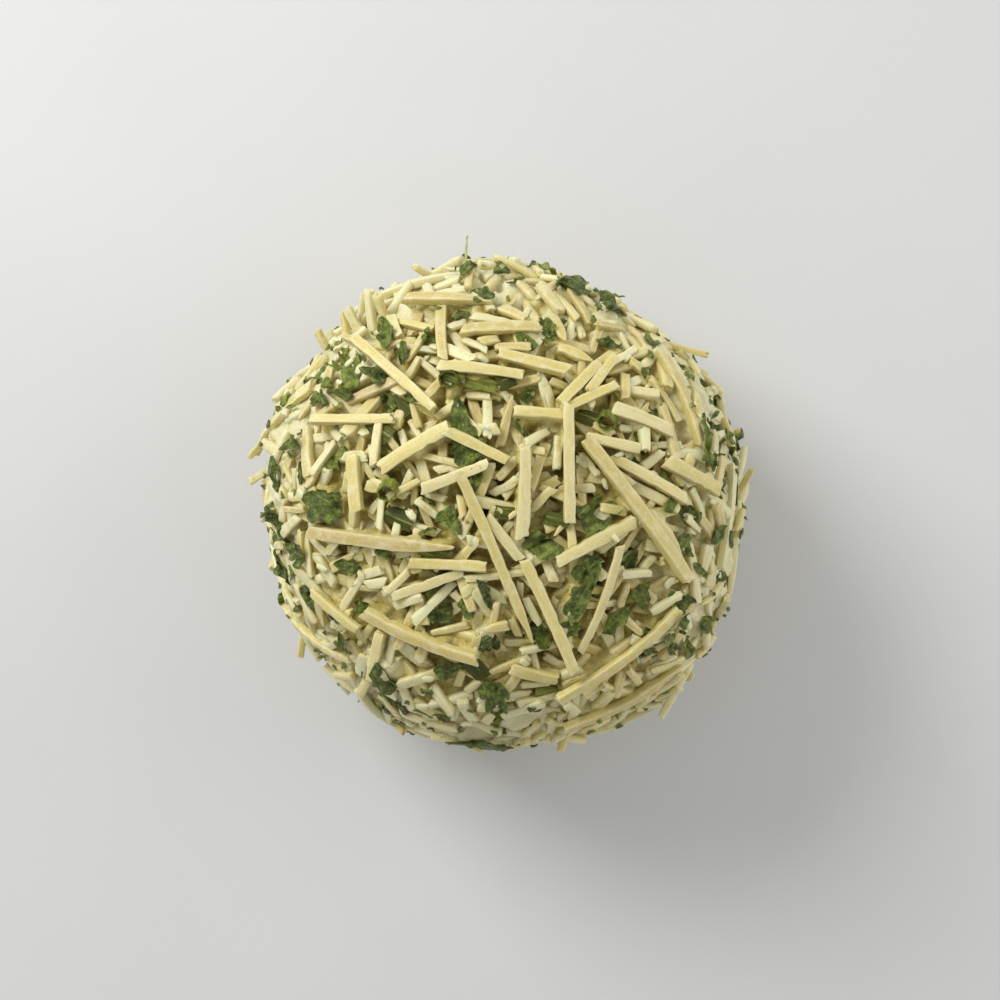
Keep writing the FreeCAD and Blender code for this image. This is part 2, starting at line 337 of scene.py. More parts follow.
class Pile:
    """Many small bodies of one kind, gathered into one mesh with a colour value for each."""

    def __init__(self, name):
        self.name = name
        self.points, self.quads, self.triangles = [], [], []
        self.tones, self.uvs = [], []
        self.count = 0

    def add(self, points, quads, triangles, tone, uv):
        """tone is four numbers for the body or each point, its third kept for painted shade by the depth
        in the coat; uv is a place in millimetres."""
        self.points.append(points)
        self.quads.append(np.asarray(quads, dtype=int).reshape(-1, 4) + self.count)
        self.triangles.append(np.asarray(triangles, dtype=int).reshape(-1, 3) + self.count)
        self.tones.append(np.broadcast_to(tone, (len(points), 4)))
        self.uvs.append(uv + draw(0, 500, 2))
        self.count += len(points)

    def build(self, material, crease=None):
        points = np.concatenate(self.points)
        points[:, 2] = np.maximum(points[:, 2], 0.0)
        quads, triangles = np.concatenate(self.quads), np.concatenate(self.triangles)
        tones = np.concatenate(self.tones)
        # painted shade: points deep in the gaps of the coat get a darker, more golden colour
        tones[:, 2] = np.clip(tones[:, 2] + relief.sunk(points), 0, 1)
        mesh = bpy.data.meshes.new(self.name)
        mesh.vertices.add(len(points))
        mesh.vertices.foreach_set("co", (points * MM).astype(np.float32).ravel())
        corners = np.concatenate([quads.ravel(), triangles.ravel()])
        sizes = np.concatenate([np.full(len(quads), 4), np.full(len(triangles), 3)])
        mesh.loops.add(len(corners))
        mesh.loops.foreach_set("vertex_index", corners.astype(np.int32))
        mesh.polygons.add(len(sizes))
        starts = np.concatenate([[0], np.cumsum(sizes)[:-1]])
        mesh.polygons.foreach_set("loop_start", starts.astype(np.int32))
        mesh.update(calc_edges=True)
        uv = mesh.uv_layers.new(name="place")
        uv.data.foreach_set("uv", np.concatenate(self.uvs)[corners].astype(np.float32).ravel())
        return finished(self.name, mesh, material, tones, crease)


def finished(name, mesh, material, tones=None, crease=None):
    """A piece made of a mesh: smooth where it has colour values, but sharp past the crease angle."""
    if tones is not None:
        tone = mesh.attributes.new("tone", "FLOAT_COLOR", "POINT")
        tone.data.foreach_set("color", tones.astype(np.float32).ravel())
        mesh.polygons.foreach_set("use_smooth", np.ones(len(mesh.polygons), dtype=bool))
    if crease is not None:
        mesh.set_sharp_from_angle(angle=math.radians(crease))
    mesh.validate()
    mesh.materials.append(material)
    piece = bpy.data.objects.new(name, mesh)
    bpy.context.collection.objects.link(piece)
    return piece


# ---- Shreds of cheese ----


def section(width, thick, softness):
    """A shred's square section with rounded corners: across, up, and how near each is to a corner, which
    sets the painted highlight on its edges.
    """
    skew = draw(-0.15, 0.15) * width
    radius = (0.13 + 0.30 * softness) * min(width, thick)
    points = []
    for corner, (cy, cz) in enumerate([(1, 1), (-1, 1), (-1, -1), (1, -1)]):
        shrink = draw(0.84, 1.06)
        middle_y = (width / 2 - radius) * cy * shrink
        middle_z = (thick / 2 - radius) * cz * draw(0.90, 1.05)
        for turn in (12, 78) if softness > 0.4 else (0, 45, 90):
            angle = math.radians(corner * 90 + turn)
            y = middle_y + radius * math.cos(angle)
            z = middle_z + radius * math.sin(angle)
            points.append((y + skew * z / thick, z, 1.0))
    if softness > 0.4:
        return np.array(points)
    corners = np.array(points).reshape(4, 3, 3)
    between = (corners[:, 2] + np.roll(corners, -1, axis=0)[:, 0]) / 2
    between[:, 2] = 0.0
    return np.concatenate([corners, between[:, None]], axis=1).reshape(-1, 3)


def band_quads(rings, around, closed=True):
    """Quads between rings of points, from each ring to the next one."""
    k = np.arange(around if closed else around - 1)
    starts = np.arange(rings - 1)[:, None] * around
    a, b = starts + k, starts + (k + 1) % around
    return np.stack([a, a + around, b + around, b], -1).reshape(-1, 4)


def tube_faces(rings, around):
    """Quads of a tube and the fans that close it, with the ends' middles as its last two points."""
    k = np.arange(around)
    step, end, middle = (k + 1) % around, (rings - 1) * around, np.full(around, rings * around)
    fans = [np.stack([middle, k, step], -1), np.stack([middle + 1, end + step, end + k], -1)]
    return band_quads(rings, around), np.concatenate(fans)


def shred_stations(length, ends, softness):
    """Places of a shred's rings along it, and how large the section is at each."""
    count = max(2, int(length / 1.15))
    inner = np.linspace(-length / 2, length / 2, count + 1)
    inner[1:-1] += draw(-0.2, 0.2, count - 1)
    bevel = min(0.12 + 0.5 * softness, 0.2 * length)
    first, last = inner[0], inner[-1]
    stations = np.concatenate([[first, first + bevel], inner[1:-1], [last - bevel, last]])
    size = np.ones(len(stations))
    size[0] = size[-1] = 0.90 - 0.35 * softness
    tip = min(7.0, 0.4 * length)
    for way, kind in ((1, ends[0]), (-1, ends[1])):
        if kind == "point":
            back = np.clip((length / 2 - way * stations) / tip, 0, 1)
            size *= 0.16 + 0.84 * back**0.8
    return stations, size


def wave(stations, size, share):
    """A slow uneven change along a shred, around one."""
    turns = 2 * math.pi * stations / size
    phase = draw(0, 2 * math.pi, 3)
    return 1 + share * (np.sin(turns + phase[0]) + 0.6 * np.sin(2.3 * turns + phase[1])) / 1.2


def add_shred(pile, lie, length, width, thick, rest, lift, tone, softness, ends=CUT_ENDS):
    """Adds one shred whose underside is at rest = (height, slope) over the smooth ball."""
    height, slope = rest
    stations, size = shred_stations(length, ends, softness)
    ring = section(width, thick, softness)
    around = len(ring)
    slants = draw(-0.55, 0.55, 2) * width
    side_bend = draw(-1, 1) * 0.016 * length
    twist = math.radians(draw(-12, 12))
    taper = draw(-0.12, 0.12)
    widths = wave(stations, 12.0, 0.045) * (1 + taper * stations / (length / 2))
    thicks = wave(stations, 14.0, 0.05)
    flank_shade = 0.38 * np.clip(0.42 - ring[:, 1] / thick, 0, 1)  # painted shade: its lower sides darker and more golden than its top
    last = len(stations) - 1
    s_all, y_all, z_all, edge_highlight = [], [], [], []
    for k, (s, scale) in enumerate(zip(stations, size)):
        share = s / (length / 2)
        wobble = 1 + random.normal(0, 0.013 + 0.035 * softness, around)
        y = ring[:, 0] * scale * widths[k] * wobble
        z = ring[:, 1] * (0.35 + 0.65 * scale) * thicks[k] * wobble
        if draw() < 0.12:  # a nick in one edge
            y = np.where(y * random.choice([-1, 1]) > 0, y * draw(0.72, 0.9), y)
        turn = twist * share
        y, z = y * math.cos(turn) - z * math.sin(turn), y * math.sin(turn) + z * math.cos(turn)
        slant = slants[1] * max(0, share) ** 6 + slants[0] * max(0, -share) ** 6
        ragged = random.normal(0, 0.14, around) if k in (0, last) else 0.0
        s_all.append(s + y / width * slant + ragged)
        y_all.append(y + side_bend * (1 - share**2) + random.normal(0, 0.02))
        z_all.append(z + height + slope * s + lift * s * s + thick / 2 + random.normal(0, 0.03))
        # painted highlight: points at the section's corners and near the ends get a value that whitens
        # them
        edge_highlight.append(np.maximum(ring[:, 2], 0.8 if k in (0, 1, last - 1, last) else 0.0))
    for at, way in ((0, -1), (last, 1)):
        s_all.append(np.array([s_all[at].mean() + way * draw(-0.15, 0.12)]))
        y_all.append(np.array([y_all[at].mean()]))
        z_all.append(np.array([z_all[at].mean()]))
        edge_highlight.append(np.array([0.6]))
    s, y, z = np.concatenate(s_all), np.concatenate(y_all), np.concatenate(z_all)
    quads, fans = tube_faces(len(stations), around)
    turn = np.concatenate([np.tile(np.arange(around) / around, len(stations)), [0.5, 0.5]])
    perimeter = 2 * (width + thick)
    tones = np.tile(tone, (len(s), 1))
    tones[:, 2] = np.append(np.tile(flank_shade, len(stations)), [0.1, 0.1])
    tones[:, 3] = np.concatenate(edge_highlight)
    pile.add(lie.place(s, y, z), quads, fans, tones, np.stack([s, turn * perimeter], -1))


def shred_tone(gold, coated):
    """Colour value of a shred: how golden it is and how coated in soft cheese."""
    return np.array([np.clip(gold, 0, 1), np.clip(coated, 0, 1), 0.0, 0.0])


def lay_shred(pile, lie, length, width, thick, tone, squash, softness, ends, highest, limp):
    """Rests a shred on the relief, pressed down by squash, and leaves it out where it would stand too
    high. It bends with the ball where limp is one, and stays straight where limp is none."""
    lift = (1 - limp) / BALL_WIDTH
    rest = lie.rest(length, width, lift)
    if rest is None:
        return
    height, slope = rest[0] - squash, float(np.clip(rest[1], -STEEPEST, STEEPEST))
    ends_high = height + abs(slope) * length / 2 + lift * length**2 / 4 + thick
    if height + thick > highest or ends_high > highest + ENDS_HIGHER:
        return
    add_shred(pile, lie, length, width, thick, (height, slope), lift, tone, softness, ends)
    raise_relief(lie, length, width, lambda s: height + slope * s + lift * s * s + thick)


def spread(count, low, high):
    """Places spread evenly between two angles down from the crown, in a random order."""
    tops = (math.cos(math.radians(low)), math.cos(math.radians(high)))
    golden = math.pi * (3 - math.sqrt(5))
    order = random.permutation(count)
    start = draw(0, 2 * math.pi)
    for k in order:
        z = tops[0] + (tops[1] - tops[0]) * (k + draw(0, 1)) / count
        turn = start + k * golden + draw(-0.2, 0.2)
        r = math.sqrt(max(0.0, 1 - z * z))
        yield np.array([r * math.cos(turn), r * math.sin(turn), z])


def creamy(directions):
    """Share of soft cheese that shows to the left and right of the ball, more than elsewhere."""
    level = np.hypot(directions[:, 0], directions[:, 1]) + 1e-9
    return (directions[:, 0] / level) ** 2 * smooth_step(0.75, 0.95, level)


def scatter_shreds(pile, count, low, high, lengths, widths, gold, coated, squash, softness, highest, limp):
    """Shreds lying every way between two angles down from the crown. The lengths and widths are
    ranges, and gold and coated are each a mean and a spread."""
    for direction in spread(count, low, high):
        if low > 40 and draw() < 0.5 * creamy(direction[None, :])[0]:
            continue  # fewer where the soft cheese shows
        length = random.triangular(lengths[0], lengths[0] + 0.35 * (lengths[1] - lengths[0]), lengths[1])
        width = SHRED_WIDTH * draw(*widths)
        thick = SHRED_THICK * draw(0.75, 1.05)
        lie = Lie(direction, heading=draw(0, 360))
        tone = shred_tone(random.normal(*gold), random.normal(*coated))
        ends = ("point" if draw() < 0.12 else "cut", "cut")
        sunk = squash * draw(0.5, 1.5)
        lay_shred(pile, lie, length, width, thick, tone, sunk, softness, ends, highest, limp)


def fill_hollows(pile, count, low, high, lengths, apart, highest):
    """Soft shreds in the lowest places of the relief, the lowest first, each turned to lie deep."""
    hollow = relief.smoothed(relief.height, 30) - relief.smoothed(relief.height, 3)
    hollow[(relief.down < low) | (relief.down > high)] = -9.0
    taken = np.zeros((0, 3))
    for k in np.argsort(-hollow):
        if len(taken) == count:
            break
        if (np.linalg.norm(taken - relief.point[k], axis=1) < apart).any():
            continue
        taken = np.append(taken, relief.point[k : k + 1], axis=0)
        length = draw(*lengths)
        width = SHRED_WIDTH * draw(0.6, 0.95)
        thick = SHRED_THICK * draw(0.7, 1.0)
        best, least = None, 1e9
        for heading in draw(0, 180, 7):
            lie = Lie(relief.direction[k], heading=heading)
            rest = lie.rest(length, width, 0.0)
            if rest and rest[0] + 3 * abs(rest[1]) < least:
                best, least = lie, rest[0] + 3 * abs(rest[1])
        tone = shred_tone(random.normal(0.35, 0.25), random.normal(0.40, 0.2))
        if best:
            lay_shred(pile, best, length, width, thick, tone, 0.15, 0.4, CUT_ENDS, highest, 1.0)


# ---- Herbs ----


def leaf_outline(form, turn, narrow):
    """Distance from a leaf's middle to its edge at each turn, one at its tip."""
    phase = draw(0, 2 * math.pi, 3)
    if form == "triangle":
        side = np.mod(turn, 2 * math.pi / 3) - math.pi / 3
        edge = 0.55 / np.cos(side) ** 0.9
    elif form == "lobed":
        lobes = random.choice([1.0, 1.5, 1.5, 2.5])
        uneven = 1 + 0.22 * np.cos(turn + phase[0])
        edge = (0.48 + 0.52 * np.abs(np.cos(lobes * turn + 0.3 * phase[1])) ** 0.8) * uneven
    elif form == "oval":
        edge = 1 - 0.25 * np.abs(np.sin(turn)) ** 3
    else:
        edge = 1 - 0.16 * np.cos(3 * turn + phase[0])
    teeth = 1 + 0.09 * np.cos(4 * turn + phase[1]) + 0.035 * np.cos(10 * turn + phase[2])
    return edge * teeth / np.sqrt(np.cos(turn) ** 2 + (np.sin(turn) / narrow) ** 2)


def add_leaf(pile, lie, length, narrow, tone, form, curl, lift, fold, chops, detail):
    """A piece of flat parsley leaf lying over the relief, some of its edges chopped off straight."""
    spokes, rings = detail
    turn = np.linspace(0, 2 * math.pi, spokes, endpoint=False)
    edge = leaf_outline(form, turn, narrow) * length / 2
    edge = edge * (1 + random.normal(0, 0.03, spokes))
    share = np.linspace(0, 1, rings + 1)[1:] ** 0.85
    x = np.concatenate([[0.0], np.outer(share, edge * np.cos(turn)).ravel()])
    y = np.concatenate([[0.0], np.outer(share, edge * np.sin(turn)).ravel()])
    for _ in range(chops):
        way, reach = draw(0, 2 * math.pi), draw(0.24, 0.42) * length
        cut_x, cut_y = math.cos(way), math.sin(way)
        over = np.maximum(0, x * cut_x + y * cut_y - reach * (0.4 + 0.6 * abs(cut_x)))
        x, y = x - over * cut_x, y - over * cut_y
    near, s0, y0 = lie.local(length * 0.6 + 1)
    if len(near) < 6:
        return

    # It lies on the plane that fits the relief best, and bends to stay over what is under it.
    inside = (s0 / (length / 2)) ** 2 + (y0 / (narrow * length / 2)) ** 2 < 0.8
    heights = relief.height[near[inside]] if inside.sum() > 3 else relief.height[near]
    base = min(np.percentile(heights, 78), HIGHEST)
    fit = np.stack([s0, y0, np.ones(len(s0))], -1)
    slope_s, slope_y, _ = np.linalg.lstsq(fit, relief.height[near], rcond=None)[0]
    slope_s, slope_y = np.clip([slope_s, slope_y], -0.35, 0.35)
    ruffle = Bumps(max(2.4, 0.36 * length), 6)
    crimp = ruffle.at(np.stack([x, y, 0 * x], -1)) * (0.24 + 0.15 * (x**2 + y**2) / length)
    turned_up = draw(-0.35, 0.35) * x * y / length
    bend = curl * (x**2 + 0.4 * y**2) / length + fold * np.abs(y) + turned_up
    z = base + slope_s * x + slope_y * y + 0.15 + lift + bend + crimp - fold * narrow * length / 5
    under = relief.tops(lie.place(x, y, np.zeros(len(x))), 0.85)
    z = np.minimum(np.maximum(z, under + 0.15), min(base + 1.8, HIGHEST + 0.8))

    count, k = len(x), np.arange(spokes)
    fan = np.stack([np.zeros(spokes, int), 1 + k, 1 + (k + 1) % spokes], -1)
    quads = 1 + band_quads(rings, spokes)
    rim = fan[:, 1:] + (rings - 1) * spokes
    side = np.stack([rim[:, 0], rim[:, 0] + count, rim[:, 1] + count, rim[:, 1]], -1)
    points = np.concatenate([lie.place(x, y, z), lie.place(x * 0.98, y * 0.98, z - LEAF_THICK)])
    faces = np.concatenate([quads, quads[:, ::-1] + count, side])
    fans = np.concatenate([fan, fan[:, ::-1] + count])
    pile.add(points, faces, fans, tone, np.tile(np.stack([x, y], -1), (2, 1)))
    top = base + slope_s * s0 + slope_y * y0 + 0.3 + lift
    relief.height[near[inside]] = np.maximum(relief.height[near], top)[inside]


def add_chive(pile, lie, length, radius, tone, arc, flat, rest=None):
    """A chopped bit of chive: a hollow ribbed tube, or a strip of its wall when the arc is short."""
    rest = rest or lie.rest(length, radius * 1.4, 0.0)
    if rest is None:
        return
    height, slope = min(rest[0], HIGHEST - radius), float(np.clip(rest[1], -0.25, 0.25))
    around, rings = 18, 5
    closed = arc >= 360
    turns = np.radians(np.linspace(-arc / 2, arc / 2, around, endpoint=not closed) + 90)
    ribs = 1 + 0.07 * np.cos(turns * 7)
    base = height - radius * flat * math.cos(math.radians(arc / 2)) - 0.35
    s_list, y_list, z_list = [], [], []
    for skin in (0.0, CHIVE_WALL):
        for k in range(rings):
            s = (k / (rings - 1) - 0.5) * length
            pinch = 1 + 0.05 * math.sin(k * 2.1 + tone[3] * 6)
            r = (radius - skin) * ribs * pinch
            s_list.append(s + random.normal(0, 0.05, around) + 0.12 * np.cos(turns))
            y_list.append(r * np.cos(turns))
            z_list.append(base + slope * s + r * np.sin(turns) * flat)
    s, y, z = np.concatenate(s_list), np.concatenate(y_list), np.concatenate(z_list)

    # Its outer and inner skins, the rims at its two ends, and the two edges of a strip.
    layer = rings * around
    skin = band_quads(rings, around, closed)
    quads = [skin[:, [0, 3, 2, 1]], skin + layer]
    k = np.arange(around if closed else around - 1)
    for ring, flip in ((0, 1), (rings - 1, -1)):
        a, b = ring * around + k, ring * around + (k + 1) % around
        quads.append(np.stack([a, a + layer, b + layer, b], -1)[:, ::flip])
    if not closed:
        r = np.arange(rings - 1) * around
        for edge, flip in ((0, -1), (around - 1, 1)):
            a, b = r + edge, r + edge + around
            quads.append(np.stack([a, b, b + layer, a + layer], -1)[:, ::flip])
    uv = np.stack([s, np.tile(turns * radius, 2 * rings)], -1)
    pile.add(lie.place(s, y, z), np.concatenate(quads), [], tone, uv)
    raise_relief(lie, length, radius * 1.6, lambda q: base + slope * q + 0.8 * radius * flat)


def scatter_bits(pile, count, low, high, sizes, highest, dab=False):
    """Broken bits of shred, or dabs of soft cheese, lodged in the gaps and stuck on top."""
    for direction in spread(count, low, high):
        length = random.triangular(sizes[0], sizes[0], sizes[1])
        width = draw(0.35, 0.75) * min(length, SHRED_WIDTH)
        thick = draw(0.45, 0.85) * width
        tone = shred_tone(random.normal(0.15, 0.25), random.normal(0.5, 0.25))
        if dab:
            width, thick = draw(0.5, 0.8) * length, draw(0.3, 0.5) * length
            tone = shred_tone(0.0, 1.0)
        lie = Lie(direction, heading=draw(0, 360))
        shape = (length, width, thick, tone, 0.35 * thick, 0.9 if dab else 0.5)
        lay_shred(pile, lie, *shape, CUT_ENDS, highest, 1.0)


# ---- Materials ----


class Nodes:
    """A material, its colour so far, and short forms for the nodes that the materials share."""

    def __init__(self, name, colour):
        self.material = bpy.data.materials.new(name)
        self.material.use_nodes = True
        self.tree = self.material.node_tree
        self.colour = colour

    def put(self, node, inputs):
        """Sets inputs of a node to numbers, vectors or colours, or links them to what others give."""
        for key, value in inputs.items():
            socket = node.inputs[key]
            if isinstance(value, tuple):
                socket.default_value = (*value, 1.0)[: len(socket.default_value)]
            elif isinstance(value, (int, float)):
                socket.default_value = value
            else:
                self.tree.links.new(value, socket)

    def add(self, kind, inputs, **settings):
        """The outputs of a new node with its settings and inputs."""
        node = self.tree.nodes.new("ShaderNode" + kind)
        for key, value in settings.items():
            setattr(node, key, value)
        self.put(node, inputs)
        return node.outputs

    def tone(self):
        """The four values that each body was given."""
        attribute = self.add("Attribute", {}, attribute_name="tone")
        split = self.add("SeparateColor", {"Color": attribute["Color"]})
        return [split[k] for k in range(3)] + [attribute["Alpha"]]

    def place(self, stretch):
        """A body's own place, stretched along it."""
        flat = self.add("UVMap", {}, uv_map="place")["UV"]
        return self.add("Mapping", {"Vector": flat, "Scale": stretch})["Vector"]

    def noise(self, size, detail, roughness, stretch=None):
        """Noise with features of a size in millimetres, in space or stretched along a body."""
        if stretch is None:
            size = size * MM
        place = self.place(stretch) if stretch else self.add("TexCoord", {})["Object"]
        inputs = {"Vector": place, "Scale": 1 / size, "Detail": detail, "Roughness": roughness}
        return self.add("TexNoise", inputs)["Fac"]

    def mix(self, share, first, second):
        """The first colour where the share is none, the second where it is one."""
        return self.add("Mix", {"Factor": share, 6: first, 7: second}, data_type="RGBA")[2]

    def over(self, colour, share, *limits):
        """Lays a colour over the colour so far, by a share or by a ramp between limits."""
        self.colour = self.mix(self.ramp(share, *limits) if limits else share, self.colour, colour)

    def ramp(self, value, low, high, out_low=0.0, out_high=1.0):
        """A smooth change from one value at the low limit to another at the high one."""
        limits = {"From Min": low, "From Max": high, "To Min": out_low, "To Max": out_high}
        return self.add("MapRange", {"Value": value, **limits}, interpolation_type="SMOOTHSTEP")["Result"]

    def math(self, operation, a, b):
        return self.add("Math", {0: a, 1: b}, operation=operation)[0]

    def bump(self, height, strength, distance, under=None):
        """Normals of bumps of a height in millimetres, laid over the bumps under them."""
        inputs = {"Height": height, "Strength": strength, "Distance": distance * MM}
        if under is not None:
            inputs["Normal"] = under
        return self.add("Bump", inputs)["Normal"]

    def finish(self, rough, normal, specular, subsurface=0.0, radius=(1, 1, 1), scale=1.0):
        """Puts it all into the shader; light spreads by the radius of each colour times the scale."""
        shader = self.tree.nodes["Principled BSDF"]
        self.put(shader, {"Base Color": self.colour, "Roughness": rough, "Normal": normal})
        self.put(shader, {"Specular IOR Level": specular, "Subsurface Weight": subsurface})
        self.put(shader, {"Subsurface Radius": radius, "Subsurface Scale": scale * MM})
        return self.material


PALE = (0.740, 0.630, 0.212)
WHITE = (0.810, 0.760, 0.500)
GOLD = (0.630, 0.510, 0.175)
TAN = (0.570, 0.430, 0.185)
# golden colour of painted shade and of light glowing inside the cheese, deep in the coat
SHADED_GOLD = (0.550, 0.445, 0.095)
CREAM = (0.805, 0.768, 0.465)
SHADE = (0.110, 0.072, 0.016)


def shred_material():
    n = Nodes("shredded_cheese", WHITE)
    gold, coated, deep, edge = n.tone()
    n.over(PALE, gold, 0.0, 0.26, 0.35, 1.0)
    n.over(GOLD, gold, 0.25, 0.75)
    n.over(TAN, gold, 0.82, 1.0, 0.0, 0.8)
    # painted shade: the colour turns golden and then dark where the shred lies deep in the coat
    n.over((0.680, 0.575, 0.170), deep, 0.02, 0.28, 0.0, 0.85)
    n.over(SHADED_GOLD, deep, 0.14, 0.55, 0.0, 0.92)
    grain = n.noise(0.5, 4.0, 0.6, (0.14, 1.0, 1.0))
    n.over(GOLD, grain, 0.46, 0.68, 0.0, 0.36)
    n.over(WHITE, grain, 0.34, 0.50, 0.30, 0.0)
    # white crystal specks, which also stand for small glints: partly the cheese's own crystals, partly
    # painted highlight
    crystals_and_glints = n.noise(0.22, 2.0, 0.5)
    n.over((0.88, 0.86, 0.72), crystals_and_glints, 0.60, 0.70, 0.0, 0.5)
    n.over(GOLD, crystals_and_glints, 0.32, 0.42, 0.3, 0.0)
    # Whiter patches at random and whiter edges, kept to the tops: painted highlight where light falls on
    # the coat's top and the shreds' edges.
    painted_top_light = n.ramp(deep, 0.0, 0.5, 1.0, 0.2)
    cloud = n.ramp(n.noise(2.0, 4.0, 0.6), 0.50, 0.68, 0.0, 0.5)
    n.over(WHITE, n.math("MULTIPLY", cloud, painted_top_light))
    n.over(WHITE, n.math("MULTIPLY", n.ramp(edge, 0.45, 1.0, 0.0, 0.32), painted_top_light))
    smear = n.noise(1.8, 5.0, 0.65)
    coat = n.math("ADD", n.math("MULTIPLY", coated, 0.62), n.math("MULTIPLY", smear, 0.6))
    # the cream coating, held back where the painted shade is
    n.over(CREAM, n.math("MULTIPLY", n.ramp(coat, 0.52, 0.66), n.ramp(deep, 0.05, 0.5, 1.0, 0.2)))
    # painted shadow at the bottom of deep gaps
    n.over(SHADE, deep, 0.55, 0.88, 0.0, 0.85)
    pits = n.noise(0.35, 5.0, 0.65)
    normal = n.bump(pits, 0.45, 0.2, n.bump(grain, 0.40, 0.25))
    return n.finish(n.ramp(pits, 0.3, 0.7, 0.22, 0.46), normal, 0.6, 0.55, (1.0, 0.75, 0.38), 0.8)


def cream_material():
    n = Nodes("soft_cheese", CREAM)
    deep = n.tone()[2]
    fine = n.noise(0.9, 6.0, 0.62)
    n.over((0.84, 0.80, 0.56), n.noise(6.0, 4.0, 0.6), 0.35, 0.7)
    n.over(GOLD, fine, 0.45, 0.75, 0.0, 0.30)
    # painted shade: golden, then dark, where the skin lies deep in the coat
    streak = n.ramp(n.noise(1.1, 4.0, 0.6), 0.38, 0.62)
    n.over(n.mix(streak, (0.66, 0.56, 0.19), (0.49, 0.40, 0.095)), deep, 0.0, 0.5)
    n.over(SHADE, deep, 0.5, 0.85, 0.0, 0.8)
    n.over((0.22, 0.27, 0.07), n.noise(1.3, 3.0, 0.5), 0.70, 0.76, 0.0, 0.55)
    normal = n.bump(n.noise(2.4, 3.0, 0.6), 0.5, 1.0)
    normal = n.bump(fine, 0.5, 0.5, normal)
    normal = n.bump(n.noise(0.28, 4.0, 0.6), 0.3, 0.15, normal)
    return n.finish(n.ramp(fine, 0.3, 0.7, 0.36, 0.6), normal, 0.45, 0.25, (1.0, 0.78, 0.48), 0.7)


def leaf_material():
    n = Nodes("parsley_leaf", (0.325, 0.410, 0.050))
    dark, yellow, deep, _ = n.tone()
    n.over((0.066, 0.094, 0.012), dark)
    n.over((0.330, 0.370, 0.050), yellow, 0.5, 1.0)
    blotch = n.noise(1.6, 4.0, 0.65)
    n.over((0.040, 0.060, 0.010), blotch, 0.42, 0.62, 0.0, 0.75)
    n.over((0.360, 0.440, 0.080), blotch, 0.30, 0.46, 0.75, 0.0)
    fibre = n.noise(0.9, 3.0, 0.6, (0.35, 1.3, 1.0))
    n.over((0.350, 0.430, 0.085), fibre, 0.52, 0.66, 0.0, 0.55)
    n.over((0.034, 0.052, 0.009), fibre, 0.34, 0.46, 0.55, 0.0)
    net = {"Vector": n.place((0.7, 1.5, 1.0)), "Scale": 0.36}
    to_vein = n.add("TexVoronoi", net, feature="DISTANCE_TO_EDGE")["Distance"]
    vein = n.ramp(to_vein, 0.0, 0.10, 1.0, 0.0)
    n.over((0.300, 0.330, 0.110), n.math("MULTIPLY", vein, 0.16))
    # painted shade: darker where the leaf lies deep in the coat
    n.over((0.030, 0.038, 0.008), deep, 0.1, 0.6, 0.0, 0.7)
    normal = n.bump(fibre, 0.5, 0.5, n.bump(vein, -0.35, 0.25))
    normal = n.bump(n.noise(1.2, 4.0, 0.65), 1.0, 1.3, normal)
    rough = n.ramp(n.noise(0.4, 3.0, 0.6), 0.3, 0.7, 0.26, 0.48)
    return n.finish(rough, normal, 0.45, 0.12, (0.6, 0.6, 0.1), 0.6)


def chive_material():
    n = Nodes("chopped_chive", (0.330, 0.375, 0.055))
    dark, yellow, deep, _ = n.tone()
    n.over((0.070, 0.084, 0.011), dark)
    n.over((0.520, 0.560, 0.220), yellow, 0.6, 1.0)
    ribs = n.noise(0.45, 2.0, 0.5, (0.06, 1.0, 1.0))
    n.over((0.060, 0.066, 0.016), ribs, 0.44, 0.60, 0.0, 0.5)
    n.over((0.400, 0.430, 0.130), ribs, 0.34, 0.46, 0.6, 0.0)
    n.over((0.060, 0.062, 0.018), n.noise(1.4, 4.0, 0.6), 0.5, 0.7, 0.0, 0.6)
    # painted shade: darker where the chive lies deep in the coat
    n.over((0.030, 0.034, 0.008), deep, 0.1, 0.6, 0.0, 0.7)
    return n.finish(0.52, n.bump(ribs, 0.6, 0.25), 0.20, 0.15, (0.6, 0.6, 0.12), 0.8)


def floor_material():
    n = Nodes("pale_floor", (0.70, 0.70, 0.71))
    n.over((0.73, 0.73, 0.74), n.noise(40.0, 2.0, 0.5))
    return n.finish(0.7, n.bump(n.noise(3.0, 3.0, 0.5), 0.05, 0.2), 0.2)


# ---- Laying the coat ----


def long_shred_places():
    """Place, run, length and width of each long shred of the solids, the lowest first."""
    places = []
    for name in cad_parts:
        if "shred_" not in name:
            continue
        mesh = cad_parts[name].data
        points = np.array([v.co[:] for v in mesh.vertices]) / MM
        middle = (points.max(axis=0) + points.min(axis=0)) / 2
        flat = Lie(unit(middle - CENTRE), heading=0)
        plan = np.stack([points @ flat.along, points @ flat.across])
        turns = np.radians(np.arange(0, 180, 0.5))
        widths = np.ptp(np.stack([-np.sin(turns), np.cos(turns)], -1) @ plan, axis=1)
        turn = turns[np.argmin(widths)]
        along = flat.along * math.cos(turn) + flat.across * math.sin(turn)
        reach = points @ along
        tip, tail = points[reach > reach.max() - 1.5], points[reach < reach.min() + 1.5]
        middle = (tip.mean(axis=0) + tail.mean(axis=0)) / 2
        lie = Lie(unit(middle - CENTRE), along=along)
        s = (points - lie.point) @ lie.along
        y = (points - lie.point) @ lie.across
        layer = np.median((points - lie.point) @ lie.normal)
        narrow = [np.ptp(y[s > s.max() - 1.0]), np.ptp(y[s < s.min() + 1.0])]
        width = widths.min()
        ends = tuple("point" if size < 0.45 * width else "cut" for size in narrow)
        places.append((layer, name, lie, np.ptp(s), width, ends))
    return sorted(places, key=lambda item: (item[0], item[1]))


